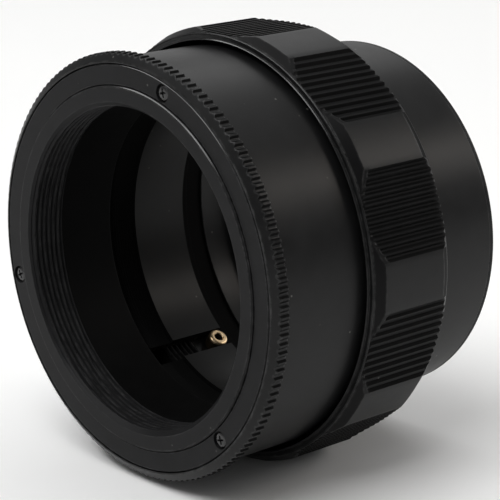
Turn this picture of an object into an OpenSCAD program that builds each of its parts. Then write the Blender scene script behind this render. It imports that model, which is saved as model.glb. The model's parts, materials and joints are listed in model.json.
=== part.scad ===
// Helical focuser: a black aluminium extension tube whose length is set by turning a
// grip ring. It lies on its side. The optical axis runs along +Y, and the front
// (telescope) end points to -Y. The origin is on the axis at the mouth of the rear
// thread. Every length along the axis is counted from the front face plate.

/* [Mount threads] */
// Nominal diameter of the female thread at each end
thread_d = 42; // [41.8:0.05:42]
// Pitch of both mount threads
thread_pitch = 0.75; // [0.5:0.05:0.75]
// Number of turns that each mount thread has
thread_turns = 5; // [3:1:5]

/* [Front tube] */
// Diameter of the smooth front barrel
barrel_d = 52.8; // [52.6:0.1:53]
// Diameter over the tips of the knurled ring
knurl_d = 54.7; // [54.5:0.1:55]
// Number of teeth on the knurled ring
knurl_teeth = 150; // [60:10:180]
// Length of the smooth front barrel behind the knurled ring
barrel_len = 13.8; // [13:0.1:13.8]
// Diameter of the plain light path behind the front thread
bore_d = 41.8; // [41.8:0.05:42]

/* [Focus grip] */
// Diameter over the smooth lands of the grip
grip_d = 57.4; // [57.2:0.1:58]
// Number of scallops around the grip
scallops = 10; // [8:1:12]
// Angle that one scallop takes up
scallop_deg = 23.1; // [20:0.1:24]
// Depth of a scallop's middle below the lands
scallop_depth = 0.65; // [0.4:0.05:0.7]
// Number of ribs in one scallop
ribs = 10; // [8:1:11]
// Depth of the grooves between the ribs
rib_depth = 0.25; // [0.1:0.05:0.25]

/* [Rear tube] */
// Diameter of the smooth rear barrel
rear_d = 47.48; // [47.4:0.02:47.8]

/* [Motion] */
// How far the front tube draws back from full length
travel = 10; // [8:0.5:10]
// How far the grip turns over that travel, in degrees
turn = 300; // [240:10:300]

/* [Hidden] */
$fn = 180;
e = 0.5;                 // overshoot of a cutting shape
fit = 0.05;              // radial clearance of a running fit

// Colours
anodised = [0.10, 0.10, 0.105];
matte = [0.15, 0.15, 0.155];
inner = [0.07, 0.07, 0.072];
steel = [0.72, 0.72, 0.70];
brass = [0.80, 0.62, 0.36];
blackened = [0.16, 0.16, 0.16];
acetal = [0.09, 0.09, 0.10];

// Mount threads: metric 60 degree profile, drawn as rings a pitch apart
thread_r = thread_d / 2;
minor_r = thread_r - 0.4533 * thread_pitch;   // middle of the 6H tolerance
root_flat = thread_pitch / 8;
crest_flat = 0.352 * thread_pitch;
front_mouth_r = thread_r + 0.25;
rear_mouth_r = thread_r + 0.1;

// Stations along the axis, from the face plate
proud = 0.3;             // the insert stands proud of the face plate
plate_t = 1.2;
knurl_len = 2.1;
flange_end = 5;          // back of the front barrel's thick flange
barrel_end = knurl_len + barrel_len;
first_turn = 1.0;        // middle of the front thread's first turn
insert_end = 4.8;
baffle_end = 13.1;
relief_end = 17.7;
tube_end = 26.2;
slot_start = 12.5;
tube_flange_end = 6.2;
gap_t = 14.82;           // front edge of the lip ring's mouth
grip_front = 15.25;
grip_rear = 27.9;
lip_len = 1.35;          // spigot of the lip ring inside the grip
nut_front = 16.6;
nut_step = 21.4;         // back of the nut's threaded length
nut_flange = 26.2;
journal_front = 21.95;
shoulder_t = grip_rear + 0.35;
shoulder_end = shoulder_t + 0.8;
hub_end = 29.9;          // end of the thick hub behind the shoulder
undercut_t = 28.4;
undercut_end = 31.2;
rear_spigot = 36.6;      // inner end of the rear thread ring
rear_joint = 40.5;       // joint between rear barrel and rear thread ring
rear_face = 41.3;
key_t = 24.9;            // station of the guide keys
snap_t = 23.0;
snap_w = 0.6;

// Radii
bore_r = bore_d / 2;
plate_r = 25.9;
groove_r = 26.05;        // inside of the knurled ring
boss_r = 23.28;          // proud part of the thread insert
insert_flange_r = 23.85;
insert_r = 22.6;
barrel_r = barrel_d / 2;
knurl_r = knurl_d / 2;
knurl_depth = 0.34;
skirt_r = 25.4;          // inside of the front barrel's skirt
tube_in_r = bore_r + 0.35;
tube_r = 22.6;           // pitch surface of the helicoid tube
relief_r = 21.75;
grip_r = grip_d / 2;
grip_in_r = 27.05;
grip_edge_r = 28.0;      // both ends of the grip after its long chamfers
grip_chamfer = 1.3;      // length of those chamfers
lip_r = 27.4;
nut_r = 25.1;
journal_r = 24.3;
rear_in_r = 23.0;
rear_r = rear_d / 2;
shoulder_r = 26.3;
hub_r = 25.2;
undercut_r = 23.35;

// Fasteners and small parts
face_screw_circle = 24.6;
face_screw_clock = 17.4; // clock angle of the first face screw
tube_screw_clock = face_screw_clock + 60;
screw_r = 0.7;
head_r = 1.05;
head_h = 0.45;
plate_gap = 0.1;         // between the face plate and the proud insert
head_bore_r = 1.15;
key_clock = [216.1, 36.1];
key_r = 1.4;
key_hole_r = 0.68;
key_shank_r = 0.5;
key_clear = 0.05;
grub_r = 0.45;
grub_clock = [-18, 162];
grub_t = 26.7;
ring_grub_r = 0.7;
ring_grub_clock = 255;
ring_grub_t = 38.6;
pin_circle = 25.55;
pin_r = 0.5;
pin_clock = 0;
pin_spare = 1.7;         // angle from the pin's centre to the groove's end
pin_depth = 0.8;

// ---------- frame and helpers ----------

// Turns local Z, the optical axis, to +Y and puts the rear face at the origin
module on_axis() {
    translate([0, -rear_face, 0]) rotate([-90, 0, 0]) children();
}

// Turns local +X to a clock angle: 0 is up, 90 is +X, as seen from the front
module clock(angle) {
    rotate([0, 0, angle - 90]) children();
}

// A ring between two radii and two stations
module ring(r_in, r_out, t0, t1) {
    difference() {
        translate([0, 0, t0]) cylinder(r = r_out, h = t1 - t0);
        translate([0, 0, t0 - e]) cylinder(r = r_in, h = t1 - t0 + 2 * e);
    }
}

// A turned part from an outline of [radius, station] points
module turned(outline) {
    rotate_extrude() polygon(outline);
}

// A pin along the axis, at a circle and a clock angle
module axial_pin(circle_r, angle, r, t0, t1) {
    clock(angle) translate([circle_r, 0, t0]) cylinder(r = r, h = t1 - t0, $fn = 48);
}

// A pin pointing outwards from one radius to another
module radial_pin(angle, t, r, r0, r1) {
    clock(angle) translate([r0, 0, t]) rotate([0, 90, 0]) cylinder(r = r, h = r1 - r0, $fn = 48);
}

// The grooves of a female mount thread, the first turn's middle at t, dir +1 or -1
module thread_grooves(t, dir) {
    top = (thread_pitch - crest_flat) / 2;
    root = root_flat / 2;
    for (i = [0 : thread_turns - 1])
        translate([0, 0, t + dir * i * thread_pitch])
            turned([[minor_r - 0.3, -top], [minor_r, -top], [thread_r, -root],
                    [thread_r, root], [minor_r, top], [minor_r - 0.3, top]]);
}

// One scallop of the grip: all that is outside its concave floor, with a groove at each side
module scallop_cutter() {
    half = scallop_deg / 2;
    step = scallop_deg / (ribs + 0.8);
    flank = step * 0.28;
    edge = 0.04;
    function floor_r(a) = grip_r - edge - (scallop_depth - edge) * (1 - pow(abs(a) / half, 2.6));
    function at(a, r) = [r * cos(a), r * sin(a)];
    ribbed = [for (i = [0 : ribs]) let (a = -half + i * step, b = a + step * 0.8)
              each [at(a, floor_r(a)), at(a + flank, floor_r(a) - rib_depth),
                    at(b - flank, floor_r(b) - rib_depth), at(b, floor_r(b))]];
    outline = concat(ribbed, [at(half, grip_r + 2), at(-half, grip_r + 2)]);
    translate([0, 0, grip_front - e]) linear_extrude(grip_rear - grip_front + 2 * e) polygon(outline);
}

// ---------- front tube: draws in and out ----------

// Coin-edged ring at the very front
module knurled_ring() {
    lip = 0.5;
    bevel = 0.7;
    back = 0.15;
    tooth = 360 / knurl_teeth;
    floor_w = 0.21 * tooth * PI / 180 * knurl_r;     // half width of a groove's floor
    mouth_w = 0.30 * tooth * PI / 180 * knurl_r;
    color(anodised) difference() {
        turned([[groove_r, 0.1], [groove_r + 0.1, 0], [groove_r + lip, 0], [knurl_r, bevel],
                [knurl_r, knurl_len - back], [knurl_r - back, knurl_len], [groove_r, knurl_len]]);
        for (i = [0 : knurl_teeth - 1])
            rotate([0, 0, i * tooth]) translate([knurl_r - knurl_depth, 0, -e])
                linear_extrude(knurl_len + 2 * e)
                    polygon([[0, -floor_w], [0, floor_w], [knurl_depth + 0.1, mouth_w],
                             [knurl_depth + 0.1, -mouth_w]]);
    }
}

// Flat ring that clamps the thread insert
module face_plate() {
    color(matte) difference() {
        turned([[boss_r + plate_gap, 0], [plate_r - 0.1, 0], [plate_r, 0.1], [plate_r, plate_t],
                [insert_flange_r + 0.04, plate_t], [insert_flange_r + 0.04, plate_t / 2],
                [boss_r + plate_gap, plate_t / 2]]);
        for (k = [0 : 2]) {
            a = face_screw_clock + k * 120;
            axial_pin(face_screw_circle, a, head_bore_r, -e, head_h + 0.1);
            axial_pin(face_screw_circle, a, screw_r + 0.1, 0, plate_t + e);
        }
    }
}

// A cross-headed screw along the axis, its head's face at t0
module cross_screw(angle, t0, t1) {
    cross_w = 0.28;
    cross_l = 1.3;
    clock(angle) translate([face_screw_circle, 0, 0]) difference() {
        union() {
            translate([0, 0, t0]) cylinder(r = head_r, h = head_h, $fn = 48);
            translate([0, 0, t0]) cylinder(r = screw_r, h = t1 - t0, $fn = 48);
        }
        for (q = [25, 115]) rotate([0, 0, q])
            translate([-cross_l / 2, -cross_w / 2, t0 - e]) cube([cross_l, cross_w, e + 0.3]);
    }
}

// Three screws that hold the face plate
module face_screws() {
    color(blackened) for (k = [0 : 2]) cross_screw(face_screw_clock + k * 120, 0.1, 4.2);
}

// Front mount: a threaded ring that stands slightly proud of the face plate
module front_thread_insert() {
    edge = 0.25;
    color(matte) difference() {
        turned([[front_mouth_r, -proud], [boss_r - edge, -proud], [boss_r, edge - proud],
                [boss_r, plate_t / 2], [insert_flange_r, plate_t / 2],
                [insert_flange_r, plate_t], [insert_r, plate_t], [insert_r, insert_end],
                [minor_r, insert_end], [minor_r, front_mouth_r - minor_r - proud]]);
        thread_grooves(first_turn, 1);
    }
}

// Smooth outer barrel: a thick front flange and a thin skirt that runs inside the grip
module front_barrel() {
    color(anodised) difference() {
        turned([[insert_r, plate_t], [groove_r, plate_t], [groove_r, knurl_len],
                [barrel_r - 0.1, knurl_len], [barrel_r, knurl_len + 0.1],
                [barrel_r, barrel_end - 0.15], [barrel_r - 0.15, barrel_end],
                [skirt_r, barrel_end], [skirt_r, flange_end], [insert_r, flange_end]]);
        for (k = [0 : 2]) {
            a = face_screw_clock + k * 120;
            axial_pin(face_screw_circle, a, screw_r, 0, 4.2);
            axial_pin(face_screw_circle, a + 60, screw_r, 0, flange_end + e);
            axial_pin(face_screw_circle, a + 60, head_bore_r, 0, plate_t + head_h + 0.1);
        }
    }
}

// Three screws, under the face plate, that hold the helicoid tube to the front barrel
module tube_screws() {
    color(steel) for (k = [0 : 2])
        cross_screw(tube_screw_clock + k * 120, plate_t + 0.1, tube_flange_end - 0.1);
}

// Thin blackened sleeve that lines the light path behind the front thread
module front_baffle() {
    color(inner) ring(bore_r, tube_in_r, insert_end, baffle_end);
}

// Inner tube that carries the male helicoid and the two key slots
module helicoid_tube() {
    slot_w = 2 * (key_r + key_clear);
    color(inner) difference() {
        turned([[tube_in_r, flange_end], [nut_r, flange_end], [nut_r, tube_flange_end],
                [tube_r, tube_flange_end], [tube_r, tube_end - 0.2], [tube_r - 0.2, tube_end],
                [tube_in_r, tube_end], [tube_in_r, relief_end], [relief_r, relief_end],
                [relief_r, baffle_end], [tube_in_r, baffle_end]]);
        for (a = key_clock) clock(a) {
            translate([tube_in_r - 1, -slot_w / 2, slot_start])
                cube([3, slot_w, tube_end - slot_start + e]);
        }
        for (k = [0 : 2])
            axial_pin(face_screw_circle, tube_screw_clock + k * 120, screw_r, flange_end - e,
                      tube_flange_end + e);
    }
}

// ---------- focus grip: turns ----------

// Outer grip with smooth lands and ribbed scallops
module focus_ring() {
    color(anodised) difference() {
        turned([[lip_r, grip_front], [grip_edge_r, grip_front],
                [grip_r, grip_front + grip_chamfer], [grip_r, grip_rear - grip_chamfer],
                [grip_edge_r, grip_rear], [grip_in_r, grip_rear],
                [grip_in_r, grip_front + lip_len], [lip_r, grip_front + lip_len]]);
        for (k = [0 : scallops - 1]) clock(k * 360 / scallops) scallop_cutter();
        for (a = grub_clock) radial_pin(a, grub_t, grub_r, grip_in_r - 1, grip_r + 1);
    }
}

// Thin ring screwed into the mouth of the grip
module lip_ring() {
    edge = 0.2;
    color(anodised) turned([[grip_in_r, gap_t + edge], [grip_in_r + edge, gap_t],
                            [grip_edge_r - 0.05, grip_front - 0.06], [grip_edge_r - 0.05, grip_front],
                            [lip_r, grip_front], [lip_r, grip_front + lip_len],
                            [grip_in_r, grip_front + lip_len]]);
}

// Female helicoid, its bearing sleeve and the flange that carries the grip
module helicoid_nut() {
    groove_out = 24.78;
    slack = 0.05;
    color(inner) difference() {
        turned([[tube_r + fit, nut_front], [nut_r, nut_front], [nut_r, nut_flange],
                [grip_in_r, nut_flange], [grip_in_r, grip_rear], [journal_r + fit, grip_rear],
                [journal_r + fit, nut_step], [tube_r + fit, nut_step]]);
        ring(journal_r - e, groove_out, snap_t - slack, snap_t + snap_w + slack);
        clock(pin_clock - pin_spare) rotate_extrude(angle = turn + 2 * pin_spare)
            translate([pin_circle - pin_r - 0.1, grip_rear - pin_depth])
                square([2 * pin_r + 0.2, pin_depth + e]);
        for (a = grub_clock) radial_pin(a, grub_t, grub_r, grip_in_r - 0.8, grip_in_r + e);
    }
}

// Two grub screws that lock the grip to the nut's flange
module grip_grub_screws() {
    color(steel) for (a = grub_clock) difference() {
        radial_pin(a, grub_t, grub_r, grip_in_r - 0.8, grip_in_r + 1.2);
        clock(a) translate([grip_in_r + 0.8, 0, grub_t]) rotate([0, 90, 0])
            cylinder(r = 0.22, h = 1, $fn = 6);
    }
}

// ---------- base: stays with the camera ----------

// Rear barrel with the thrust shoulder and the journal that the nut turns on
module rear_barrel() {
    color(anodised) difference() {
        turned([[rear_in_r, journal_front], [journal_r - 0.1, journal_front],
                [journal_r, journal_front + 0.1], [journal_r, shoulder_t],
                [shoulder_r, shoulder_t], [shoulder_r, shoulder_end], [hub_r, shoulder_end],
                [hub_r, hub_end], [rear_r, hub_end], [rear_r, rear_joint - 0.06],
                [rear_r - 0.06, rear_joint], [rear_in_r, rear_joint],
                [rear_in_r, undercut_end], [undercut_r, undercut_end - 0.2],
                [undercut_r, undercut_t], [rear_in_r, undercut_t]]);
        ring(journal_r - 0.4, journal_r + e, snap_t, snap_t + snap_w);
        for (a = key_clock) radial_pin(a, key_t, key_shank_r, rear_in_r - e, journal_r + e);
        axial_pin(pin_circle, pin_clock, pin_r, shoulder_t - e, shoulder_end + e);
        radial_pin(ring_grub_clock, ring_grub_t, ring_grub_r, rear_in_r - e, rear_r + e);
    }
}

// Rear mount: a threaded ring screwed into the end of the rear barrel
module rear_thread_ring() {
    edge = 0.3;
    entry = rear_mouth_r - minor_r;
    color(matte) difference() {
        turned([[minor_r, rear_spigot], [rear_in_r, rear_spigot], [rear_in_r, rear_joint],
                [rear_r - 0.06, rear_joint], [rear_r, rear_joint + 0.06],
                [rear_r, rear_face - edge], [rear_r - edge, rear_face], [rear_mouth_r, rear_face],
                [minor_r, rear_face - entry]]);
        thread_grooves(rear_face - first_turn - proud, -1);
        for (a = [90, 270]) clock(a) translate([21.8, -0.8, rear_face - 0.7]) cube([1.2, 1.6, 2]);
        radial_pin(ring_grub_clock, ring_grub_t, ring_grub_r, rear_in_r - 1, rear_in_r + e);
    }
}

// Grub screw that stops the rear thread ring from unscrewing
module rear_ring_grub_screw() {
    color(steel) difference() {
        radial_pin(ring_grub_clock, ring_grub_t, ring_grub_r, rear_in_r - 1, rear_r - 0.1);
        clock(ring_grub_clock) translate([rear_in_r, 0, ring_grub_t]) rotate([0, 90, 0])
            cylinder(r = 0.35, h = 2, $fn = 6);
    }
}

// Brass bushes that slide in the helicoid tube's slots and stop it turning
module key_bushes() {
    color(brass) for (a = key_clock) difference() {
        radial_pin(a, key_t, key_r, bore_r + 0.15, rear_in_r - 0.05);
        radial_pin(a, key_t, key_hole_r, bore_r, rear_in_r);
    }
}

// Screws that hold the brass bushes to the journal
module key_screws() {
    head_r0 = 21.3;
    color(blackened) for (a = key_clock) difference() {
        union() {
            radial_pin(a, key_t, key_hole_r, head_r0, rear_in_r - 0.9);
            radial_pin(a, key_t, key_shank_r, rear_in_r - 0.9, journal_r - 0.05);
        }
        clock(a) translate([head_r0 - 0.2, -0.09, key_t - 1]) cube([0.45, 0.18, 2]);
    }
}

// Open wire ring in the journal's groove, which keeps the nut on the journal
module snap_ring() {
    gap_deg = 12;
    slack = 0.02;
    color(steel) clock(90) rotate_extrude(angle = 360 - gap_deg)
        translate([journal_r - 0.4, snap_t + slack]) square([0.82, snap_w - 2 * slack]);
}

// Slip washer between the nut's flange and the shoulder
module rear_thrust_washer() {
    color(acetal) ring(journal_r + 0.1, pin_circle - pin_r - 0.1, grip_rear + 0.05, shoulder_t);
}

// Slip washer between the nut's step and the front of the journal
module front_thrust_washer() {
    color(acetal) ring(rear_in_r + 0.1, journal_r - 0.15, nut_step + 0.05, journal_front);
}

// Pin in the shoulder, running in the nut's arc groove: it limits the turn
module stop_pin() {
    color(steel) axial_pin(pin_circle, pin_clock, pin_r, grip_rear - pin_depth + 0.1, shoulder_end);
}

on_axis() knurled_ring();
on_axis() face_plate();
on_axis() face_screws();
on_axis() front_thread_insert();
on_axis() front_barrel();
on_axis() tube_screws();
on_axis() front_baffle();
on_axis() helicoid_tube();
on_axis() focus_ring();
on_axis() lip_ring();
on_axis() helicoid_nut();
on_axis() grip_grub_screws();
on_axis() rear_barrel();
on_axis() rear_thread_ring();
on_axis() rear_ring_grub_screw();
on_axis() key_bushes();
on_axis() key_screws();
on_axis() snap_ring();
on_axis() rear_thrust_washer();
on_axis() front_thrust_washer();
on_axis() stop_pin();
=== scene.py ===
import json
import math

import bmesh
import bpy
import numpy as np
from mathutils import Matrix, Vector


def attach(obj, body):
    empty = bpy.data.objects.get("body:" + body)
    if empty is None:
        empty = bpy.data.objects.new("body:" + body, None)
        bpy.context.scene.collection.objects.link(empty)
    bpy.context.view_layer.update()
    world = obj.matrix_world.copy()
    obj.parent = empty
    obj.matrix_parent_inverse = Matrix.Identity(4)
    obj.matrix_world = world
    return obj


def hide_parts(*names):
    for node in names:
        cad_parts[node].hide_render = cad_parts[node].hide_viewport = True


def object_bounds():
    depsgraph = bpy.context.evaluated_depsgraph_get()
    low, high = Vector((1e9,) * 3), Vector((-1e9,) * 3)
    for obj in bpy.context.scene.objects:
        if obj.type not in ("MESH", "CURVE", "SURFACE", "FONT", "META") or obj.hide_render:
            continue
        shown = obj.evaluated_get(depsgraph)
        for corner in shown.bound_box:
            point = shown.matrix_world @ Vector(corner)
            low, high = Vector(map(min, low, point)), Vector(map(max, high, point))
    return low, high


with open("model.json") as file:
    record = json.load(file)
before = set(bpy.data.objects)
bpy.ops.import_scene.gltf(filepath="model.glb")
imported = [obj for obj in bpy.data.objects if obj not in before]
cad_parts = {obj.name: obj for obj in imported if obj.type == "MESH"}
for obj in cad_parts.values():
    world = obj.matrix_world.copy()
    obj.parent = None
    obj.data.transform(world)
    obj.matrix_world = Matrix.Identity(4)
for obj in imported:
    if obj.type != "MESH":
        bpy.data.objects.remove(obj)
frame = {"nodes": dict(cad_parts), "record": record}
CAD_LOW, CAD_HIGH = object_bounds()

# Lengths are in millimetres: r from the optical axis, t along it from the front face
# plate. A clock angle is 0 at the top and grows towards +X, as seen from the front.
MM = 0.001
TAU = 2 * math.pi
WELD = 3e-7    # metres within which points are merged

# Sizes shared with the CAD: threads
THREAD_R, THREAD_PITCH = 21.0, 0.75
MINOR_R = THREAD_R - 0.4533 * THREAD_PITCH
ROOT_FLAT, CREST_FLAT = 1 / 8, 0.352    # shares of the pitch
FRONT_TURN, REAR_TURN = 1.0, 40.0       # middle of a thread root at the top
FRONT_MOUTH_R, REAR_MOUTH_R = 21.25, 21.1
LEAD, STARTS = 12.0, 15
HELIX_PITCH = LEAD / STARTS

# Stations
PROUD, PLATE_T, KNURL_LEN = 0.3, 1.2, 2.1
SCREW_END, INSERT_END, FLANGE_END, TUBE_FLANGE_END = 4.2, 4.8, 5.0, 6.2
SLOT_START, BAFFLE_END, BARREL_END, RELIEF_END, TUBE_END = 12.5, 13.1, 15.9, 17.7, 26.2
GAP_T, GRIP_FRONT, GRIP_REAR, GRIP_CHAMFER, LIP_LEN = 14.82, 15.25, 27.9, 1.3, 1.35
NUT_FRONT, NUT_STEP, NUT_FLANGE = 16.6, 21.4, 26.2
JOURNAL_FRONT, SNAP_T, SNAP_END = 21.95, 23.0, 23.6
SHOULDER_T, SHOULDER_END, HUB_END = 28.25, 29.05, 29.9
UNDERCUT_T, UNDERCUT_END = 28.4, 31.2
REAR_SPIGOT, REAR_JOINT, REAR_FACE = 36.6, 40.5, 41.3

# Radii
BORE_R, TUBE_IN_R, RELIEF_R, TUBE_R = 20.9, 21.25, 21.75, 22.6
INSERT_R, BOSS_R, INSERT_FLANGE_R, PLATE_R = 22.6, 23.28, 23.85, 25.9
SKIRT_R, GROOVE_R, BARREL_R, KNURL_R = 25.4, 26.05, 26.4, 27.35
GRIP_IN_R, LIP_R, GRIP_EDGE_R, GRIP_R = 27.05, 27.4, 28.0, 28.7
NUT_R, JOURNAL_R, HUB_R, SHOULDER_R = 25.1, 24.3, 25.2, 26.3
REAR_IN_R, UNDERCUT_R, REAR_R = 23.0, 23.35, 23.74

# Fasteners and keys
SCREW_CIRCLE, SCREW_R, HEAD_BORE_R = 24.6, 0.7, 1.15
SCREW_CLOCKS = [17.4 + 120 * k for k in range(3)]
KEY_CLOCKS, KEY_T = (216.1, 36.1), 24.9
GRUB_CLOCKS, GRUB_T = (-18, 162), 26.7
RING_GRUB_CLOCK, RING_GRUB_T, RING_GRUB_R = 255, 38.6, 0.7
SLOT_HALF = math.radians(3.86)    # half the angle of a key slot


# ---------------------------------------------------------------- mesh tools

def place(r, clock, t):
    """Points in metres in the row frame, from radius, clock angle in radians and station."""
    r, clock, t = np.broadcast_arrays(r, clock, t)
    return np.stack([r * np.sin(clock), t - REAR_FACE, r * np.cos(clock)], -1) * MM


def refinish(obj, r_low, r_high, t_low, t_high, mat, arc=(-180, 180), every=1):
    """Gives the faces of a zone another finish, all round or in evenly spaced arcs."""
    span = 360 / every
    obj.data.materials.append(mat)
    for face in obj.data.polygons:
        c = face.center / MM
        r, t = math.hypot(c.x, c.z), c.y + REAR_FACE
        clock = (math.degrees(math.atan2(c.x, c.z)) + span / 2) % span - span / 2
        if r_low < r < r_high and t_low < t < t_high and arc[0] <= clock <= arc[1]:
            face.material_index = len(obj.data.materials) - 1


def paint_flank_shade(obj, mat, share=0.4):
    """Gives the steep sides of lengthwise grooves another finish, a darker one that paints the
    shade in the grooves.
    """
    obj.data.materials.append(mat)
    for face in obj.data.polygons:
        c, n = face.center, face.normal
        if abs(n.x * c.z - n.z * c.x) > share * math.hypot(c.x, c.z):
            face.material_index = len(obj.data.materials) - 1


def new_mesh(name, verts, faces, wear=None):
    """A mesh from points and faces, with the wear of each point as an attribute."""
    mesh = bpy.data.meshes.new(name)
    mesh.from_pydata(np.asarray(verts, float).reshape(-1, 3).tolist(), [], faces)
    if wear is not None:
        layer = mesh.attributes.new("wear", "FLOAT", "POINT")
        layer.data.foreach_set("value", np.asarray(wear, np.float32).ravel())
    return mesh


def linked(name, mesh):
    """An object in the scene for a mesh."""
    obj = bpy.data.objects.new(name, mesh)
    bpy.context.scene.collection.objects.link(obj)
    return obj


def discard(objects):
    """Removes objects together with their meshes."""
    for obj in objects:
        mesh = obj.data
        bpy.data.objects.remove(obj)
        bpy.data.meshes.remove(mesh)


def finish(obj, node, body, mat, sharp=35):
    """Welds an object, shades it smooth with sharp creases, hangs it from its body and hides
    the node it stands for.
    """
    mesh = obj.data
    bm = bmesh.new()
    bm.from_mesh(mesh)
    bmesh.ops.remove_doubles(bm, verts=bm.verts, dist=WELD)
    bmesh.ops.dissolve_degenerate(bm, edges=bm.edges, dist=2e-7)
    bmesh.ops.recalc_face_normals(bm, faces=bm.faces)
    limit = math.radians(sharp)
    for f in bm.faces:
        f.smooth = True
    for e in bm.edges:
        if len(e.link_faces) == 2 and e.calc_face_angle(0) > limit:
            e.smooth = False
    bm.to_mesh(mesh)
    bm.free()
    mesh.materials.clear()
    mesh.materials.append(mat)
    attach(obj, body)
    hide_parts(node)
    return obj


def make(node, verts, faces, body, mat, wear=None, sharp=35):
    """A finished piece from points and faces."""
    name = node + ".look"
    return finish(linked(name, new_mesh(name, verts, faces, wear)), node, body, mat, sharp)


def loose(name, verts, faces, wear=None):
    """A welded object that is still to be cut, joined or finished."""
    mesh = new_mesh(name, verts, faces, wear)
    bm = bmesh.new()
    bm.from_mesh(mesh)
    bmesh.ops.remove_doubles(bm, verts=bm.verts, dist=WELD)
    bmesh.ops.recalc_face_normals(bm, faces=bm.faces)
    bm.to_mesh(mesh)
    bm.free()
    return linked(name, mesh)


def rounded(corners, radii, steps=3, inset=0.15):
    """Rounds each corner of closed outlines, an array (..., corner, 2), and adds support
    points beside each straight run. Returns the points and their wear: 1 on a corner, less
    on a slight bend, 0 on the support points."""
    before, after = np.roll(corners, 1, -2), np.roll(corners, -1, -2)
    u, v = before - corners, after - corners
    lu = np.maximum(np.linalg.norm(u, axis=-1, keepdims=True), 1e-9)
    lv = np.maximum(np.linalg.norm(v, axis=-1, keepdims=True), 1e-9)
    size = np.broadcast_to(np.asarray(radii, float), corners.shape[:-1])[..., None]
    reach = np.minimum(size, 0.42 * np.minimum(lu, lv))
    start, end = corners + u / lu * reach, corners + v / lv * reach
    arcs = []
    for k in range(steps + 1):
        s = k / steps
        arcs.append((1 - s) ** 2 * start + 2 * s * (1 - s) * corners + s * s * end)
    following = np.roll(start, -1, -2)
    gap = following - end
    length = np.maximum(np.linalg.norm(gap, axis=-1, keepdims=True), 1e-9)
    share = np.minimum(inset / length, 0.33)
    arcs += [end + gap * share, following - gap * share]
    pts = np.stack(arcs, -2)
    bend = np.clip(6 * (1 + np.sum(u * v, -1) / (lu * lv)[..., 0]), 0, 1)
    wear = bend[..., None] * np.array([1.0] * (steps + 1) + [0.0, 0.0])
    flat = pts.shape[:-3] + (-1,)
    return pts.reshape(flat + (2,)), wear.reshape(flat)


def open_run(corners, radii, steps=3, inset=0.15):
    """Rounds an outline that stays open between its last and its first corner."""
    pts, wear = rounded(corners, radii, steps, inset)
    run = slice(steps, len(pts) - steps - 2)
    return pts[run], wear[run]


def split(outline, radius):
    """The corners of an outline of (r, t) or (r, t, rounding), and their roundings."""
    corners = np.array([c[:2] for c in outline], float)
    return corners, [c[2] if len(c) > 2 else radius for c in outline]


def outlines(clocks, *corners):
    """One outline for each clock angle, from (r, t) corners that are numbers or arrays."""
    rows = [np.stack(np.broadcast_arrays(r, t, clocks)[:2], -1) for r, t in corners]
    return np.stack(rows, 1)


def ring_faces(segs, count, closed=True):
    """Quads of a grid: segs round the axis, count along an outline, closed or open."""
    rows = np.arange(count if closed else count - 1)
    i, j = np.meshgrid(np.arange(segs), rows, indexing="ij")
    a, b = i * count, (i + 1) % segs * count
    k = (j + 1) % count
    return np.stack([a + j, a + k, b + k, b + j], -1).reshape(-1, 4).tolist()


def lathe(node, outline, body, mat, clocks=None, radius=0.08, steps=3, sharp=35):
    """A ring from a closed outline of (r, t) or (r, t, rounding) corners. The outline is
    either one list, or a function of the clock angles that returns an array of outlines
    and the roundings."""
    if clocks is None:
        clocks = np.linspace(0, TAU, 360, endpoint=False)
    if callable(outline):
        corners, radii = outline(clocks)
    else:
        corners, radii = split(outline, radius)
        corners = np.broadcast_to(corners, (len(clocks),) + corners.shape)
    pts, wear = rounded(corners, radii, steps)
    verts = place(pts[..., 0], clocks[:, None], pts[..., 1])
    return make(node, verts, ring_faces(len(clocks), pts.shape[1]), body, mat, wear, sharp)


def walled_ring(node, body, mat, clocks, ts, r, worn, outline, radius, sharp):
    """A ring whose inside is a grid of radii r, with wear worn, at clock angles and at
    stations ts. Its outside is an open outline from the grid's far end to its near end."""
    pts, wear = open_run(*split(outline, radius))
    shape = (len(clocks), len(pts))
    all_r = np.concatenate([r, np.broadcast_to(pts[:, 0], shape)], 1)
    all_t = np.concatenate([np.broadcast_to(ts, r.shape), np.broadcast_to(pts[:, 1], shape)], 1)
    all_w = np.concatenate([worn, np.broadcast_to(wear, shape)], 1)
    return make(node, place(all_r, clocks[:, None], all_t),
                ring_faces(len(clocks), all_r.shape[1]), body, mat, all_w, sharp)


def into_frame(points, matrix):
    """Points of a local frame, in mm, taken to metres in the row frame."""
    return (points @ np.array(matrix.to_3x3()).T + np.array(matrix.translation)) * MM


def spin(name, outline, matrix, segs=48, radius=0.06, steps=2):
    """A loose turned solid about a local axis, from (radius, height) corners that start and
    end on that axis."""
    pts, wear = open_run(np.array(outline, float), radius, steps, 0.05)
    pts[0, 0] = pts[-1, 0] = 0
    ang = np.linspace(0, TAU, segs, endpoint=False)[:, None]
    height = np.broadcast_to(pts[:, 1], (segs, len(pts)))
    local = np.stack([pts[:, 0] * np.cos(ang), pts[:, 0] * np.sin(ang), height], -1)
    return loose(name, into_frame(local.reshape(-1, 3), matrix),
                 ring_faces(segs, len(pts), closed=False), np.tile(wear, segs))


def outward(clock):
    """The direction away from the axis at a clock angle in degrees."""
    c = math.radians(clock)
    return Vector((math.sin(c), 0, math.cos(c)))


def local_frame(r, clock, t, x_axis, z_axis, roll):
    """A local frame, in mm, at a radius, clock angle and station, rolled about its Z."""
    c = math.radians(clock)
    turn = Matrix((x_axis, z_axis.cross(x_axis), z_axis)).transposed().to_4x4()
    where = Vector((r * math.sin(c), t - REAR_FACE, r * math.cos(c)))
    return Matrix.Translation(where) @ turn @ Matrix.Rotation(math.radians(roll), 4, "Z")


def axial(r, clock, t, roll=0.0):
    """A local frame whose Z points to the front."""
    return local_frame(r, clock, t, outward(clock), Vector((0, -1, 0)), roll)


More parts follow.
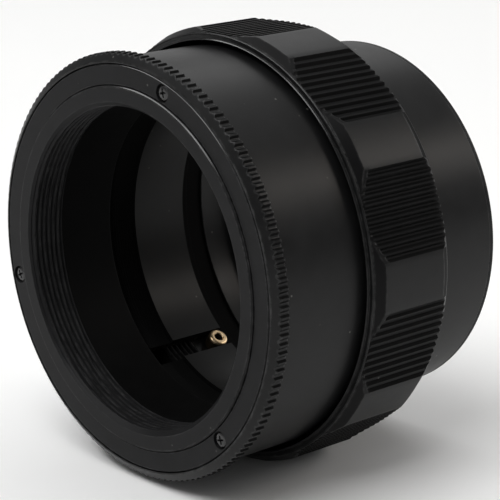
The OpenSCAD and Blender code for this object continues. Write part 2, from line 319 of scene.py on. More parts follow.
def radial(r, clock, t, roll=0.0, side=1):
    """A local frame whose Z points away from the axis, or towards it with a side of -1."""
    return local_frame(r, clock, t, Vector((0, 1, 0)), outward(clock) * side, roll)


def circle(r, n=48):
    return [(r * math.cos(TAU * i / n), r * math.sin(TAU * i / n)) for i in range(n)]


def oblong(half_x, half_y):
    return [(-half_x, -half_y), (half_x, -half_y), (half_x, half_y), (-half_x, half_y)]


def prism(name, polygon, z0, z1, matrix, low_scale=1.0):
    """A loose closed prism between two heights of a local frame, in mm. Its low end may be
    scaled to taper it."""
    poly = np.array(polygon, float)
    n = len(poly)
    low = np.c_[poly * low_scale, np.full(n, z0)]
    high = np.c_[poly, np.full(n, z1)]
    faces = [tuple(range(n))[::-1], tuple(range(n, 2 * n))]
    faces += [(i, (i + 1) % n, n + (i + 1) % n, n + i) for i in range(n)]
    return loose(name, into_frame(np.r_[low, high], matrix), faces)


def cut(obj, cutters):
    """Takes closed cutters out of an object, and removes them."""
    for c in cutters:
        mod = obj.modifiers.new("cut", "BOOLEAN")
        mod.operation, mod.solver, mod.object = "DIFFERENCE", "EXACT", c
    graph = bpy.context.evaluated_depsgraph_get()
    graph.update()
    mesh = bpy.data.meshes.new_from_object(obj.evaluated_get(graph))
    obj.modifiers.clear()
    old, obj.data = obj.data, mesh
    bpy.data.meshes.remove(old)
    discard(cutters)
    return obj


def cut_and_finish(obj, cutters, node, body, mat, sharp=35):
    """Cuts a piece that was finished as a plain ring, and finishes it again."""
    obj.parent = None
    return finish(cut(obj, cutters), node, body, mat, sharp)


def joined(node, parts, body, mat):
    """One finished piece from several loose objects."""
    name = node + ".look"
    bm = bmesh.new()
    for p in parts:
        bm.from_mesh(p.data)
    mesh = bpy.data.meshes.new(name)
    bm.to_mesh(mesh)
    bm.free()
    discard(parts)
    return finish(linked(name, mesh), node, body, mat, 40)


# ---------------------------------------------------------------- materials

class Net:
    """Builds a material's nodes: add() makes a node and links or sets its inputs."""

    def __init__(self, name):
        self.mat = bpy.data.materials.new(name)
        self.mat.use_nodes = True
        self.tree = self.mat.node_tree
        self.shader = self.tree.nodes["Principled BSDF"]
        self.coords = self.tree.nodes.new("ShaderNodeTexCoord").outputs["Object"]

    def put(self, socket, value):
        if isinstance(value, bpy.types.NodeSocket):
            self.tree.links.new(value, socket)
        elif value is not None:
            if socket.type == "RGBA" and len(value) == 3:
                value = (*value, 1)
            socket.default_value = value

    def add(self, kind, out=0, props=None, **inputs):
        node = self.tree.nodes.new("ShaderNode" + kind)
        for key, value in (props or {}).items():
            setattr(node, key, value)
        for key, value in inputs.items():
            by_index = key[0] == "i" and key[1:].isdigit()
            self.put(node.inputs[int(key[1:]) if by_index else key.replace("_", " ")], value)
        return node.outputs[out]

    def math(self, op, a, b=None, clamp=False):
        return self.add("Math", props={"operation": op, "use_clamp": clamp}, i0=a, i1=b)

    def noise(self, scale, detail=3, rough=0.5):
        return self.add("TexNoise", Vector=self.coords, Scale=scale, Detail=detail,
                        Roughness=rough)

    def ramp(self, value, low, high, to_low=0.0, to_high=1.0):
        return self.add("MapRange", i0=value, i1=low, i2=high, i3=to_low, i4=to_high)

    def mix(self, factor, a, b):
        node = self.tree.nodes.new("ShaderNodeMix")
        node.data_type = "RGBA"
        for key, value in ((0, factor), (6, a), (7, b)):
            self.put(node.inputs[key], value)
        return node.outputs[2]

    def set(self, **inputs):
        for key, value in inputs.items():
            self.put(self.shader.inputs[key.replace("_", " ")], value)

    def bump(self, height, strength, distance, normal=None):
        return self.add("Bump", Height=height, Strength=strength, Distance=distance,
                        Normal=normal)

    def turning(self, pitch_mm):
        """Fine lathe lines along the optical axis, uneven in depth."""
        return self.add("TexWave", props={"wave_type": "BANDS", "bands_direction": "Y"},
                        Vector=self.coords, Scale=TAU / 20 / (pitch_mm * MM), Distortion=0.3,
                        Detail=1.0)


def metal(name, color, rough, spread=0.02, metallic=0.0, specular=0.5,
          worn=(0.10, 0.10, 0.10), wear=0.4, lines=0.12, line_strength=0.06, dust=0.3,
          grain=0.05):
    """A turned and finished metal surface: mottled colour and gloss, fine lathe lines a
    given pitch in mm apart, lighter worn corners and a little dust."""
    net = Net(name)
    mottle = net.noise(420, 4, 0.6)
    fine = net.noise(2600, 2, 0.6)
    darker, lighter = [c * 0.82 for c in color], [c * 1.18 for c in color]
    shade = net.mix(net.ramp(mottle, 0.35, 0.65), darker, lighter)
    edge = net.add("Attribute", out=2, props={"attribute_name": "wear"})
    patchy = net.math("MULTIPLY", edge, net.ramp(net.noise(900, 4, 0.7), 0.42, 0.72))
    shade = net.mix(net.math("MULTIPLY", patchy, wear, clamp=True), shade, worn)
    specks = net.add("TexVoronoi", props={"feature": "F1"}, Vector=net.coords, Scale=420,
                     Randomness=1.0)
    chance = net.noise(150, 1, 0.5)
    dot = net.math("MULTIPLY", net.ramp(specks, 0.075, 0.03), net.ramp(chance, 0.56, 0.62))
    shade = net.mix(net.math("MULTIPLY", dot, dust, clamp=True), shade, (0.35, 0.34, 0.32))
    gloss = net.math("ADD", net.ramp(mottle, 0.3, 0.7, rough - spread, rough + spread),
                     net.ramp(fine, 0.3, 0.7, -spread / 2, spread / 2))
    bump = net.bump(fine, grain, 0.00003)
    if lines:
        bump = net.bump(net.turning(lines), line_strength, 0.00001, bump)
    net.set(Base_Color=shade, Roughness=gloss, Normal=bump, Metallic=metallic,
            Specular_IOR_Level=specular)
    return net.mat


satin = metal("satin_black", (0.0055, 0.0056, 0.0058), 0.35, specular=0.19)
matte = metal("matte_black", (0.008, 0.008, 0.0085), 0.44, lines=0.18, line_strength=0.04,
              grain=0.12, specular=0.12)
# The baffle's own dead black finish. It also stands as painted shade on the groove flanks of
# the knurl and the grip, in the helicoid tube's relief and on the nut's ridges, and is put on
# the lands' rear chamfer.
baffle_and_shade_black = metal("baffle_black", (0.0018, 0.0018, 0.0018), 0.60, lines=0.25, line_strength=0.1,
             wear=0.15, dust=0.12, specular=0.06)
tube_black = metal("tube_black", (0.004, 0.004, 0.0038), 0.36, lines=0.16,
                   line_strength=0.12, wear=0.5, dust=0.2, worn=(0.16, 0.15, 0.12),
                   specular=0.15)
steel = metal("steel", (0.55, 0.54, 0.52), 0.28, metallic=1.0, worn=(0.7, 0.7, 0.68),
              dust=0.1, lines=0)
blackened = metal("blackened_steel", (0.012, 0.012, 0.0125), 0.22, worn=(0.20, 0.19, 0.18),
                  wear=0.25, specular=0.5, lines=0, dust=0.2)
brass = metal("brass", (0.72, 0.54, 0.33), 0.36, metallic=1.0, worn=(0.75, 0.6, 0.4),
              dust=0.02, lines=0.1)
# A dark copy of the brass, for painted shade on the bushes' side walls.
shaded_brass = metal("brass_painted_shade", (0.12, 0.085, 0.05), 0.5, metallic=1.0, wear=0, dust=0,
                  lines=0)
# A darker, less glossy copy of the satin black, for painted shade on the ribbed valleys and the
# grip's front cone.
ribbed_shade = metal("ribbed_painted_shade", (0.003, 0.003, 0.0032), 0.40, specular=0.10)
acetal = metal("acetal", (0.02, 0.02, 0.02), 0.4, lines=0, wear=0)
# A glossier, slightly lighter copy of the black, set only on the arcs where a lamp's glint is
# wanted: painted highlight.
glint_black = metal("painted_glint", (0.012, 0.012, 0.012), 0.16, lines=0, wear=0, dust=0,
                 specular=0.35, grain=0.0)
# A dead black for painted shade in the bore: the helicoid tube's relief and the rear barrel
# just behind the tube's end.
dead_shade_black = metal("painted_black_band", (0.002, 0.002, 0.002), 0.8, lines=0, wear=0, dust=0.02,
              specular=0.08, grain=0.3)

# The CAD solids that stay in view are finished by their material slot
by_slot = {"satin_black": satin, "matte_black": matte, "baffle_black": baffle_and_shade_black,
           "steel": steel, "brass": brass, "blackened_steel": blackened, "acetal": acetal}
slot_of = {s["node"]: s["material_slot"] for s in frame["record"]["subparts"]}
for node_name, node in frame["nodes"].items():
    node.data.materials.clear()
    node.data.materials.append(by_slot[slot_of[node_name]])


# ---------------------------------------------------------------- front tube

def knurl():
    """The knurled ring. A tooth's phases run from -0.5 to 0.5 round a groove's middle, and
    its heights from 0 on the groove's floor to 1 on the crest."""
    teeth, depth, bevel, lip = 150, 0.22, 0.75, 0.2
    phases = np.array([-0.38, -0.36, -0.26, -0.16, -0.14, 0,
                       0.14, 0.16, 0.26, 0.36, 0.38, 0.5])
    heights = np.interp(np.abs(phases), [0, 0.14, 0.16, 0.36, 0.38], [0, 0, 0.06, 0.94, 1])
    clocks = ((np.arange(teeth)[:, None] + phases) / teeth * TAU + math.pi / 2).ravel()
    raised = np.tile(heights, teeth)

    def outline(c):
        tip = KNURL_R - depth * (1 - raised)
        front = GROOVE_R + lip
        edge_t = bevel * (tip - front) / (KNURL_R - front)
        corners = outlines(c, (GROOVE_R, 0.0), (front, 0.0), (tip, edge_t),
                           (tip, KNURL_LEN), (GROOVE_R, KNURL_LEN))
        return corners, [0.05, 0.06, 0.12, 0.15, 0.02]

    ring = lathe("knurled_ring", outline, "front_tube", satin, clocks, sharp=30)
    # Painted shade: the tooth flanks get the darker black.
    paint_flank_shade(ring, baffle_and_shade_black)


def thread_ring(node, body, outer, wall, turn_t, mouth):
    """A ring with a real helical thread inside. outer is the outline from the wall's far
    end round the outside to its near end, and wall the near and far stations. turn_t is
    the middle of a root at the top, and mouth the (station, radius) of the entry cone."""
    step = 0.045
    clocks = np.linspace(0, TAU, 480, endpoint=False)
    ts = np.linspace(*wall, round((wall[1] - wall[0]) / step) + 1)
    turn = (ts[None, :] - turn_t) / THREAD_PITCH - clocks[:, None] / TAU
    away = np.abs((turn + 0.5) % 1 - 0.5)
    half_root, half_crest = ROOT_FLAT / 2, 0.5 - CREST_FLAT / 2
    share = np.clip((away - half_root) / (half_crest - half_root), 0, 1)
    cone = mouth[1] - np.abs(ts - mouth[0])
    r = np.maximum(THREAD_R + (MINOR_R - THREAD_R) * share, cone[None, :])
    worn = (r < MINOR_R + 0.03) * 0.6
    outline = [(r[:, -1].mean(), wall[1], 0.0), *outer, (r[:, 0].mean(), wall[0], 0.0)]
    return walled_ring(node, body, matte, clocks, ts, r, worn, outline, 0.08, 40)


def front_insert():
    edge, seat_t = 0.17, PLATE_T / 2
    outer = [(INSERT_R, INSERT_END), (INSERT_R, PLATE_T), (INSERT_FLANGE_R, PLATE_T),
             (INSERT_FLANGE_R, seat_t), (BOSS_R, seat_t, 0.02), (BOSS_R, edge - PROUD, 0.04),
             (BOSS_R - edge, -PROUD, 0.04), (FRONT_MOUTH_R, -PROUD, 0.04)]
    ring = thread_ring("front_thread_insert", "front_tube", outer,
                       (-PROUD + 0.001, INSERT_END), FRONT_TURN, (-PROUD, FRONT_MOUTH_R))
    # Painted highlight: the glossier black on the arc of the boss's outer chamfer where the
    # glint falls.
    refinish(ring, BOSS_R - 0.18, BOSS_R + 0.01, -PROUD + 0.01, -0.1, glint_black, (-25, 52))


def rear_insert():
    edge, groove = 0.3, 0.06
    outer = [(REAR_MOUTH_R, REAR_FACE, 0.04), (REAR_R - edge, REAR_FACE, 0.06),
             (REAR_R, REAR_FACE - edge, 0.06), (REAR_R, REAR_JOINT + groove, 0.02),
             (REAR_R - groove, REAR_JOINT, 0.02), (REAR_IN_R, REAR_JOINT),
             (REAR_IN_R, REAR_SPIGOT)]
    ring = thread_ring("rear_thread_ring", "base", outer, (REAR_SPIGOT, REAR_FACE - 0.001),
                       REAR_TURN, (REAR_FACE, REAR_MOUTH_R))
    cutters = [prism("spanner", oblong(0.6, 0.8), -1.0, 0.7, axial(22.4, c, REAR_FACE))
               for c in (90, 270)]
    cutters.append(prism("grub", circle(RING_GRUB_R), -2.0, 0.0,
                         radial(24.0, RING_GRUB_CLOCK, RING_GRUB_T)))
    cut_and_finish(ring, cutters, "rear_thread_ring", "base", matte, 40)


def front_barrel():
    """The smooth barrel, with bores for the face screws and for the tube screws, which sit
    60 degrees from them."""
    barrel = lathe("front_barrel",
                   [(INSERT_R, PLATE_T), (GROOVE_R, PLATE_T, 0.02),
                    (GROOVE_R, KNURL_LEN, 0.02), (BARREL_R, KNURL_LEN, 0.1),
                    (BARREL_R, BARREL_END, 0.15), (SKIRT_R, BARREL_END, 0.05),
                    (SKIRT_R, FLANGE_END, 0.2), (INSERT_R, FLANGE_END, 0.05)],
                   "front_tube", satin)
    start_t = 0.6
    bores = [prism("bore", circle(SCREW_R), start_t - end_t, 2.0,
                   axial(SCREW_CIRCLE, c + turn, start_t))
             for turn, end_t in ((0, SCREW_END), (60, 6.6)) for c in SCREW_CLOCKS]
    cut_and_finish(barrel, bores, "front_barrel", "front_tube", satin)


def face_plate():
    edge, in_r, step_r, step_t = 0.09, BOSS_R + 0.1, INSERT_FLANGE_R + 0.04, PLATE_T / 2
    plate = lathe("face_plate",
                  [(in_r, 0, 0.05), (PLATE_R - edge, 0, 0.02), (PLATE_R, edge, 0.02),
                   (PLATE_R, PLATE_T, 0.03), (step_r, PLATE_T, 0.02), (step_r, step_t, 0.02),
                   (in_r, step_t, 0.02)],
                  "front_tube", matte)
    sinks = []
    for c in SCREW_CLOCKS:
        where = axial(SCREW_CIRCLE, c, 0)
        sinks.append(prism("sink", circle(HEAD_BORE_R), -0.55, 1.0, where))
        sinks.append(prism("shank", circle(SCREW_R + 0.1), -2.0, 0.2, where))
    cut_and_finish(plate, sinks, "face_plate", "front_tube", matte)
    # Painted highlight: the glossier black on the arc of the plate's outer edge where the glint
    # falls.
    refinish(plate, PLATE_R - edge, PLATE_R, 0.0, edge, glint_black, (-15, 50))


def cross_screw(name, clock, roll):
    """A small screw with a gently domed head and a tapered cross recess."""
    face_t = 0.08
    depth = SCREW_END - face_t
    where = axial(SCREW_CIRCLE, clock, face_t, roll)
    screw = spin(name, [(0, -depth), (0.62, -depth), (0.68, -0.45), (0.98, -0.45),
                        (0.98, -0.22), (0.88, -0.10), (0.66, -0.03), (0.35, 0.0), (0, 0.0)],
                 where, 64, 0.09)
    arm = oblong(0.66, 0.15)
    turns = [Matrix.Rotation(math.radians(q), 4, "Z") for q in (0, 90)]
    return cut(screw, [prism("bar", arm, -0.42, 0.2, where @ turn, 0.62) for turn in turns])


def face_screws():
    rolls = (28, 64, 12)
    parts = [cross_screw(f"screw{k}", SCREW_CLOCKS[k], roll) for k, roll in enumerate(rolls)]
    joined("face_screws", parts, "front_tube", blackened)


def baffle():
    lathe("front_baffle",
          [(BORE_R, INSERT_END, 0.03), (TUBE_IN_R, INSERT_END, 0.03),
           (TUBE_IN_R, BAFFLE_END, 0.03), (BORE_R, BAFFLE_END, 0.05)],
          "front_tube", baffle_and_shade_black)


def helicoid_radius(clocks, ts, r_low, r_high):
    """Radius of the multi-start helicoid's ridges."""
    turn = ts / HELIX_PITCH + STARTS * clocks / TAU
    away = np.abs((turn + 0.5) % 1 - 0.5)
    raised = np.clip((0.32 - away) / 0.14, 0, 1)
    return r_low + (r_high - r_low) * raised


def helicoid_tube():
    """The slotted inner tube with its real multi-start thread, built on a grid of cells so
    that the two slots are open right through the wall."""
    root_r, crest_r, run_out, step = 22.33, 22.78, 0.5, 0.1
    edges = [(math.radians(c) + s * SLOT_HALF) % TAU for c in KEY_CLOCKS for s in (-1, 1)]
    clocks = np.unique(np.round([*np.linspace(0, TAU, 240, endpoint=False), *edges], 6))
    stations = [FLANGE_END, TUBE_FLANGE_END, SLOT_START, BAFFLE_END, RELIEF_END, TUBE_END,
                *np.arange(TUBE_FLANGE_END + step, TUBE_END - 1e-6, step)]
    stations = np.unique(np.round(stations, 4))
    n, m = len(clocks), len(stations)
    cc, tt = np.meshgrid(clocks, stations, indexing="ij")

    ripple = np.abs((stations / 0.4) % 1 - 0.5)    # fine grooves that dull the relief
    in_relief = (stations > BAFFLE_END) & (stations < RELIEF_END)
    inner = np.where(in_relief, RELIEF_R - 0.1 + 0.5 * ripple, TUBE_IN_R)
    ridge = helicoid_radius(cc, tt, root_r, crest_r) - root_r
    outer = root_r + ridge * np.clip((TUBE_END - tt) / run_out, 0, 1)

    mid = (clocks + np.r_[clocks[1:], clocks[0] + TAU]) / 2
    off = [(mid - math.radians(c) + math.pi) % TAU - math.pi for c in KEY_CLOCKS]
    in_slot = np.abs(off).min(0) < SLOT_HALF
    mid_t = (stations[1:] + stations[:-1]) / 2
    solid = ~(in_slot[:, None] & (mid_t > SLOT_START)[None, :])

    # The points are the inner grid, the outer grid, and the flange's two edges
    grid = n * m
    verts = np.concatenate([place(inner, cc, tt).reshape(-1, 3),
                            place(outer, cc, tt).reshape(-1, 3),
                            place(NUT_R, clocks, FLANGE_END),
                            place(NUT_R, clocks, TUBE_FLANGE_END)])
    faces = []

    def at(i, j, out):
        return (i % n) * m + j + (grid if out else 0)

    for i in range(n):
        for j in range(m - 1):
            if not solid[i, j]:
                continue
            faces.append((at(i, j, 0), at(i + 1, j, 0), at(i + 1, j + 1, 0), at(i, j + 1, 0)))
            if j > 0:
                faces.append((at(i, j, 1), at(i, j + 1, 1),
                              at(i + 1, j + 1, 1), at(i + 1, j, 1)))
            for di, dj in ((1, 0), (-1, 0), (0, 1), (0, -1)):
                beside_i, beside_j = (i + di) % n, j + dj
                if beside_j < 0 or (beside_j < m - 1 and solid[beside_i, beside_j]):
                    continue
                if di:
                    k = i + (di > 0)
                    faces.append((at(k, j, 0), at(k, j + 1, 0), at(k, j + 1, 1), at(k, j, 1)))
                else:
                    k = j + (dj > 0)
                    faces.append((at(i, k, 0), at(i + 1, k, 0), at(i + 1, k, 1), at(i, k, 1)))
    for i in range(n):
        k = (i + 1) % n
        a0, b0 = 2 * grid + i, 2 * grid + k
        a1, b1 = a0 + n, b0 + n
        faces += [(at(i, 0, 0), at(k, 0, 0), b0, a0), (a0, b0, b1, a1),
                  (a1, b1, at(k, 1, 1), at(i, 1, 1))]
    wear = np.zeros(len(verts))
    wear[grid:2 * grid] = (outer.ravel() > TUBE_R) * 0.8
    tube = make("helicoid_tube", verts, faces, "front_tube", tube_black,
                wear, 30)
    # Painted shade in the relief: the darker black from just before it, then the dead black
    # band to its end.
    dead_shade_t = 15.3
    refinish(tube, 21, 22.1, BAFFLE_END - 0.2, dead_shade_t, baffle_and_shade_black)
    refinish(tube, 21, 22.1, dead_shade_t, RELIEF_END + 0.02, dead_shade_black)


# ---------------------------------------------------------------- focus grip

def grip():
    """The grip. Round each scallop, phases and depths give the profile of one rib: a groove
    is as deep as 1 and a crest 0. share runs from 0 in a scallop's middle to 1 at its end."""
    count, half, ribs = 10, math.radians(11.55), 10
    floor_depth, edge, rib_depth = 0.65, 0.04, 0.34
    span, step = TAU / count, 2 * half / (ribs + 0.8)
    phases = np.array([0, 0.02, 0.14, 0.27, 0.30, 0.40, 0.50, 0.53, 0.66, 0.78, 0.80, 0.90])
    depths = np.array([0, 0.06, 0.48, 0.94, 1, 1, 1, 0.94, 0.48, 0.06, 0, 0])
    valley = ((np.arange(ribs + 1)[:, None] + phases) * step - half).ravel()
    groove = np.tile(depths, ribs + 1)
    keep = valley <= half + 1e-6
    land = np.linspace(half, span - half, 16)[1:-1]
    one = np.concatenate([valley[keep], land])
    cut_in = np.tile(np.concatenate([groove[keep], np.zeros(len(land))]), count)
    clocks = np.concatenate([one + k * span for k in range(count)])

    def outline(c):
        a = (c + span / 2) % span - span / 2
        share = np.abs(a / half)
        inside = share <= 1 + 1e-6
        bowl = (floor_depth - edge) * (1 - np.minimum(share, 1) ** 2.6)
        curve = np.where(inside, GRIP_R - edge - bowl, GRIP_R)
        top = curve - rib_depth * cut_in
        notch = curve - rib_depth * cut_in * np.clip(1 - 1.8 * share ** 2, 0, 1)
        slope = GRIP_CHAMFER / (GRIP_R - GRIP_EDGE_R)
        begin = GRIP_FRONT + np.maximum(curve - GRIP_EDGE_R, 0.001) * slope
        margin = 0.06 + 0.7 * np.minimum(share, 1) ** 2
        end = GRIP_REAR - np.maximum(top - GRIP_EDGE_R, 0.001) * slope
        spigot_t = GRIP_FRONT + LIP_LEN
        corners = outlines(c, (LIP_R, GRIP_FRONT),
                           (np.minimum(GRIP_EDGE_R, notch - 0.001), GRIP_FRONT),
                           (notch, begin), (notch, begin + margin),
                           (top, begin + margin + 0.3), (top, end),
                           (np.minimum(GRIP_EDGE_R, top - 0.001), GRIP_REAR),
                           (GRIP_IN_R, GRIP_REAR), (GRIP_IN_R, spigot_t), (LIP_R, spigot_t))
        return corners, [0.02, 0.05, 0.05, 0.05, 0.05, 0.06, 0.05, 0.04, 0.02, 0.02]

    ring = lathe("focus_ring", outline, "grip", satin, clocks, steps=2, sharp=38)
    holes = [prism("grub", circle(0.46, 24), -2.5, 1.0, radial(GRIP_R, c, GRUB_T))
             for c in GRUB_CLOCKS]
    cut_and_finish(ring, holes, "focus_ring", "grip", satin, 25)
    rear_edge = GRIP_REAR - GRIP_CHAMFER + 0.03
    cone_end = GRIP_FRONT + GRIP_CHAMFER - 0.02
    # Painted shade: the ribbed valleys and the front cone get the darker copy of the satin
    # black.
    refinish(ring, GRIP_EDGE_R - 0.6, GRIP_R - 0.02, GRIP_FRONT + 0.02, rear_edge, ribbed_shade,
             (-11.5, 11.5), count)
    refinish(ring, GRIP_EDGE_R - 0.1, GRIP_R, GRIP_FRONT + 0.05, cone_end, ribbed_shade)
    # The lands' rear chamfer gets the darker, duller black.
    refinish(ring, GRIP_EDGE_R + 0.3, GRIP_R, rear_edge, GRIP_REAR - 0.02, baffle_and_shade_black)
    # Painted shade: the rib flanks get the darker black.
    paint_flank_shade(ring, baffle_and_shade_black)


def lip():
    """The thin ring in front of the grip: an inner chamfer, a shallow groove and a rim."""
    groove_t, rim_r, back_t = GAP_T + 0.27, GRIP_EDGE_R - 0.05, GRIP_FRONT + LIP_LEN
    ring = lathe("lip_ring",
                 [(GRIP_IN_R, GAP_T, 0.03), (GRIP_IN_R + 0.08, GAP_T, 0.01),
                  (GRIP_IN_R + 0.18, GAP_T + 0.1, 0.01), (GRIP_IN_R + 0.24, groove_t, 0.02),
                  (GRIP_EDGE_R - 0.24, groove_t, 0.02), (GRIP_EDGE_R - 0.18, GAP_T + 0.2, 0.02),
                  (rim_r, GAP_T + 0.32, 0.02), (rim_r, GRIP_FRONT, 0.01),
                  (LIP_R, GRIP_FRONT, 0.01), (LIP_R, back_t, 0.05), (GRIP_IN_R, back_t, 0.05)],
                 "grip", satin)
    # Painted highlight: the glossier black on arcs of the inner chamfer and the rim where the
    # glints fall.
    refinish(ring, GRIP_IN_R + 0.08, GRIP_IN_R + 0.18, GAP_T - 0.01, GAP_T + 0.11, glint_black,
             (-60, 78))
    refinish(ring, GRIP_EDGE_R - 0.24, GRIP_EDGE_R - 0.12, GAP_T + 0.18, GAP_T + 0.28,
             glint_black, (-10, 85))


def nut():
    """The nut in the grip, with the helicoid's ridges inside, a groove for the snap ring
    and a groove in its rear face for the stop pin."""
    clocks = np.linspace(0, TAU, 360, endpoint=False)
    ts = np.arange(NUT_FRONT, NUT_STEP + 1e-6, 0.08)
    r = helicoid_radius(clocks[:, None], ts[None, :], 22.45, 22.90)
    bearing_r, snap_r, slack = JOURNAL_R + 0.05, 24.78, 0.05
    pin_in_r, pin_out_r, pin_t = 24.95, 26.15, GRIP_REAR - 0.8
    outline = [(TUBE_R, NUT_STEP), (bearing_r, NUT_STEP), (bearing_r, SNAP_T - slack),
               (snap_r, SNAP_T - slack), (snap_r, SNAP_END + slack),
               (bearing_r, SNAP_END + slack), (bearing_r, GRIP_REAR), (pin_in_r, GRIP_REAR),
               (pin_in_r, pin_t), (pin_out_r, pin_t), (pin_out_r, GRIP_REAR),
               (GRIP_IN_R, GRIP_REAR), (GRIP_IN_R, NUT_FLANGE), (NUT_R, NUT_FLANGE),
               (NUT_R, NUT_FRONT), (TUBE_R, NUT_FRONT)]
    # Painted shade: the nut's ridges get the darker black so they stay dim.
    walled_ring("helicoid_nut", "grip", baffle_and_shade_black, clocks, ts, r, (r < 22.5) * 0.8,
                outline, 0.05, 35)


# ---------------------------------------------------------------- base

def rear_barrel():
    snap_r, retainer_t = JOURNAL_R - 0.4, 25.8
    barrel = lathe("rear_barrel",
                   [(REAR_IN_R, JOURNAL_FRONT), (JOURNAL_R, JOURNAL_FRONT, 0.1),
                    (JOURNAL_R, SNAP_T, 0.02), (snap_r, SNAP_T, 0.02),
                    (snap_r, SNAP_END, 0.02), (JOURNAL_R, SNAP_END, 0.02),
                    (JOURNAL_R, SHOULDER_T, 0.02), (SHOULDER_R, SHOULDER_T, 0.08),
                    (SHOULDER_R, SHOULDER_END, 0.12), (HUB_R, SHOULDER_END, 0.12),
                    (HUB_R, HUB_END, 0.12), (REAR_R, HUB_END, 0.1),
                    (REAR_R, REAR_JOINT, 0.06), (REAR_IN_R, REAR_JOINT, 0.02),
                    (REAR_IN_R, UNDERCUT_END, 0.05), (UNDERCUT_R, UNDERCUT_END - 0.2, 0.05),
                    (UNDERCUT_R, UNDERCUT_T, 0.05), (REAR_IN_R, UNDERCUT_T, 0.05),
                    (REAR_IN_R, retainer_t, 0.02)],
                   "base", satin)
    # Painted shade: the dead black band in the bore just behind the helicoid tube's end.
    refinish(barrel, 22.9, 23.45, retainer_t, UNDERCUT_END - 0.05, dead_shade_black)


def key_bushes():
    """The two domed brass bushes, and the slotted screws that hold them."""
    start_r, end_r, bush_r, bore_r, head_r = BORE_R + 0.15, 22.95, 1.37, 0.6, 21.95
    length, depth = end_r - start_r, JOURNAL_R - head_r - 0.05
    bushes, screws = [], []
    for k, c in enumerate(KEY_CLOCKS):
        where = radial(start_r, c, KEY_T)
        bush = spin(f"bush{k}", [(0, 0), (0.95, 0), (1.16, 0.05), (1.31, 0.17), (bush_r, 0.36),
                                 (bush_r, length), (0, length)], where, 64, 0.16, 3)
        bore = prism("bore", circle(bore_r), -1.0, length + 1, where)
        cone = prism("cone", circle(bore_r), -0.06, 0.14, where, 1.3)
        bushes.append(cut(bush, [bore, cone]))
        head = radial(head_r, c, KEY_T, 20, side=-1)
        screw = spin(f"key{k}", [(0, -depth), (0.5, -depth), (0.5, -0.6), (0.66, -0.6),
                                 (0.66, -0.04), (0.5, 0.0), (0, 0)], head, 48, 0.05)
        screws.append(cut(screw, [prism("slot", oblong(1, 0.09), -0.3, 0.3, head)]))
    piece = joined("key_bushes", bushes, "base", brass)
    # Painted shade: the bushes' side walls get the dark brass.
    refinish(piece, BORE_R + 0.6, 23, KEY_T - 3, KEY_T + 3, shaded_brass)
    joined("key_screws", screws, "base", blackened)


def socket_screw(name, where, r, length, socket_r):
    screw = spin(name, [(0, -length), (r * 0.7, -length), (r, -length + r * 0.3), (r, -0.06),
                        (r - 0.08, 0), (0, 0)], where, 48, 0.04)
    return cut(screw, [prism("socket", circle(socket_r, 6), -0.5, 0.3, where)])


def grubs():
    parts = [socket_screw(f"grub{k}", radial(GRIP_IN_R + 1.2, c, GRUB_T, 15), 0.45, 2.0, 0.22)
             for k, c in enumerate(GRUB_CLOCKS)]
    joined("grip_grub_screws", parts, "grip", steel)
    head_r = REAR_R - 0.1
    rear = socket_screw("rear", radial(head_r, RING_GRUB_CLOCK, RING_GRUB_T, 10), RING_GRUB_R,
                        head_r - REAR_IN_R + 1, 0.35)
    joined("rear_ring_grub_screw", [rear], "base", steel)


for build in (knurl, front_insert, rear_insert, front_barrel, face_plate, face_screws, baffle,
              helicoid_tube, grip, lip, nut, rear_barrel, key_bushes, grubs):
    build()


# ---------------------------------------------------------------- studio

def panel(name, toward, distance, size, power, color=(1, 1, 1), along=(1, 0, 0)):
    """A soft rectangular light in a direction from the object, its long side along a vector."""
    light = bpy.data.lights.new(name, "AREA")
    light.shape = "RECTANGLE"
    light.size, light.size_y = size
    light.energy = power
    light.color = color
    aim = Vector((0, -0.02, 0))
    back = Vector(toward).normalized()
    side = (Vector(along) - back * back.dot(Vector(along))).normalized()
    turn = Matrix((side, back.cross(side), back)).transposed().to_4x4()
    obj = bpy.data.objects.new(name, light)
    obj.matrix_world = Matrix.Translation(aim + back * distance) @ turn
    obj.visible_camera = False
    bpy.context.scene.collection.objects.link(obj)


def floor():
    half, z = 4.0, CAD_LOW.z
    plane = loose("floor", [(x, y, z) for x, y in oblong(half, half)], [(0, 1, 2, 3)])
    net = Net("floor")
    net.set(Base_Color=net.mix(net.noise(14, 2), (0.94, 0.94, 0.93), (0.92, 0.92, 0.92)),
            Roughness=0.7)
    plane.data.materials.append(net.mat)


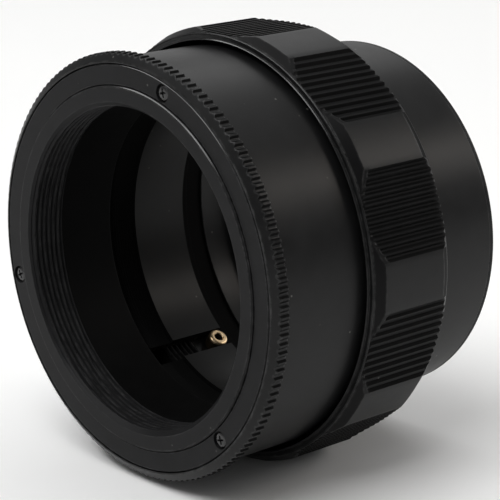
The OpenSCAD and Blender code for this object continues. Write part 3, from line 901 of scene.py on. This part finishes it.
def sky():
    """White light from all round, a little weaker from higher up."""
    world = bpy.data.worlds.new("studio")
    bpy.context.scene.world = world
    world.use_nodes = True
    tree = world.node_tree
    background = tree.nodes["Background"].inputs
    where = tree.nodes.new("ShaderNodeTexCoord").outputs["Generated"]
    split_xyz = tree.nodes.new("ShaderNodeSeparateXYZ")
    fade = tree.nodes.new("ShaderNodeMapRange")
    for k, value in enumerate((0.0, 0.45, 0.25, 0.22), 1):
        fade.inputs[k].default_value = value
    tree.links.new(where, split_xyz.inputs[0])
    tree.links.new(split_xyz.outputs[2], fade.inputs[0])
    tree.links.new(fade.outputs[0], background[1])
    background[0].default_value = (1, 1, 1, 1)


def lights():
    panel("key", (-0.34, -0.50, 0.80), 1.0, (1.3, 0.15), 3.4, along=(0.87, -0.34, -0.13))
    panel("fill", (0.15, -0.45, 0.88), 1.3, (0.8, 0.6), 6.0)
    panel("top", (-0.2, 0.1, 1.0), 1.3, (2.0, 2.0), 9.6)
    panel("left", (-0.455, 0.641, 0.619), 1.2, (0.4, 0.4), 0.4)
    panel("right", (0.53, 0.67, 0.52), 1.2, (0.35, 0.3), 1.4, (1.0, 0.93, 0.86))
    panel("back", (-0.75, 0.62, 0.26), 1.2, (0.8, 0.35), 0.4)
    panel("rear", (0.25, 1.0, 0.35), 1.2, (0.7, 0.3), 2.0)


def camera():
    """The photograph's view, from the front right and a little above."""
    data = bpy.data.cameras.new("camera")
    data.sensor_width = 36
    data.lens = 150.15
    data.clip_start, data.clip_end = 0.01, 20
    cam = linked("camera", data)
    right = Vector((0.66285, 0.74858, -0.01620))
    up = Vector((-0.18696, 0.18643, 0.96452))
    ahead = Vector((-0.72504, 0.63629, -0.26352))
    turn = Matrix((right, up, -ahead)).transposed().to_4x4()
    where = (0.19841, -0.15411 - REAR_FACE * MM, 0.07090)
    cam.matrix_world = Matrix.Translation(where) @ turn
    bpy.context.scene.camera = cam


floor()
sky()
lights()
camera()
bpy.context.scene.view_settings.view_transform = "Standard"
